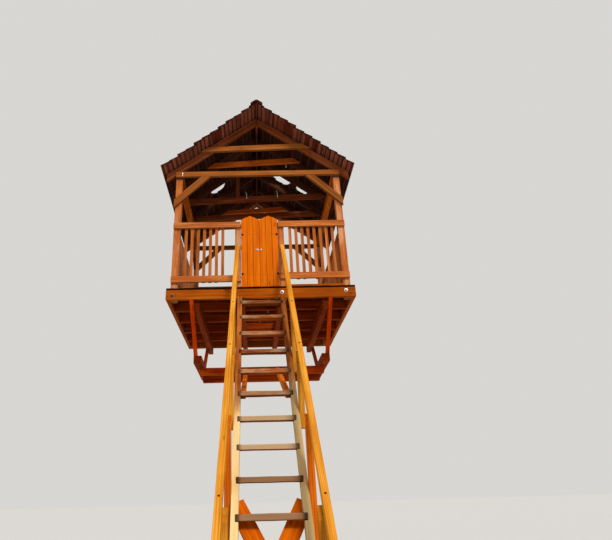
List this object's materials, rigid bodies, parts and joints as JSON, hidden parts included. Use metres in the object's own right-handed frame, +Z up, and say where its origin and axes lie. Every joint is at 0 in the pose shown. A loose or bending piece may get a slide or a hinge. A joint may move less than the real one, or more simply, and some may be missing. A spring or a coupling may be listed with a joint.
{
  "type": "tree house",
  "caption": "Open timber cabin with a lapped board gable roof, railings and a double gate, on a strutted platform clamped to a trunk, with a long ladder stair and handrails.",
  "frame": {"origin": "centre of the front clamp beam's face that bears on the trunk", "axes": "+X to the right seen from the entrance, +Y from the entrance to the back, +Z up"},
  "size_m": [2.84, 5.7366, 6.9354],
  "materials": {
    "frame_wood": "satin",
    "strut_wood": "satin",
    "gate_wood": "satin",
    "rail_wood": "satin",
    "ladder_wood": "matte",
    "roof_wood": "matte",
    "floor_wood": "matte",
    "iron": "satin"
  },
  "bodies": {
    "tree_house": {"front_rim_beam": "frame_wood", "rear_rim_beam": "frame_wood", "side_beams": "frame_wood", "floor_bearers": "strut_wood", "floor_joists": "strut_wood", "floor_boards": "floor_wood", "front_corner_posts": "frame_wood", "rear_corner_posts": "frame_wood", "gate_posts": "frame_wood", "wall_plates": "frame_wood", "end_tie_beams": "frame_wood", "middle_tie_beams": "strut_wood", "tie_hanger": "strut_wood", "end_knee_braces": "frame_wood", "side_knee_braces": "strut_wood", "rafters": "strut_wood", "ridge_board": "strut_wood", "end_collar_ties": "frame_wood", "inner_collar_ties": "strut_wood", "roof_right": "roof_wood", "roof_left": "roof_wood", "ridge_cap": "roof_wood", "front_left_railing": "frame_wood", "front_right_railing": "frame_wood", "rear_railing": "frame_wood", "side_railings": "frame_wood", "gate_pintles": "iron", "clamp_beams": "strut_wood", "outrigger_beams": "strut_wood", "platform_struts": "strut_wood", "ladder_treads": "ladder_wood", "ladder_stringers": "ladder_wood", "handrails": "rail_wood", "handrail_posts": "rail_wood", "ladder_legs": "strut_wood", "ladder_props": "strut_wood", "toe_board": "frame_wood", "foot_brace_left": "strut_wood", "foot_brace_right": "strut_wood"},
    "gate_left": {"left_gate_boards": "gate_wood", "left_gate_ledges": "gate_wood", "left_gate_hinges": "iron"},
    "gate_right": {"right_gate_boards": "gate_wood", "right_gate_ledges": "gate_wood", "right_gate_hinges": "iron"}
  },
  "joints": [
    {"name": "gate_left_swing", "type": "hinge", "parent": "tree_house", "child": "gate_left", "pos_m": [-0.251, -0.935, 0.927], "axis": [0, 0, 1], "range_deg": [0, 90]},
    {"name": "gate_right_swing", "type": "hinge", "parent": "tree_house", "child": "gate_right", "pos_m": [0.251, -0.935, 0.927], "axis": [0, 0, -1], "range_deg": [0, 90]}
  ]
}
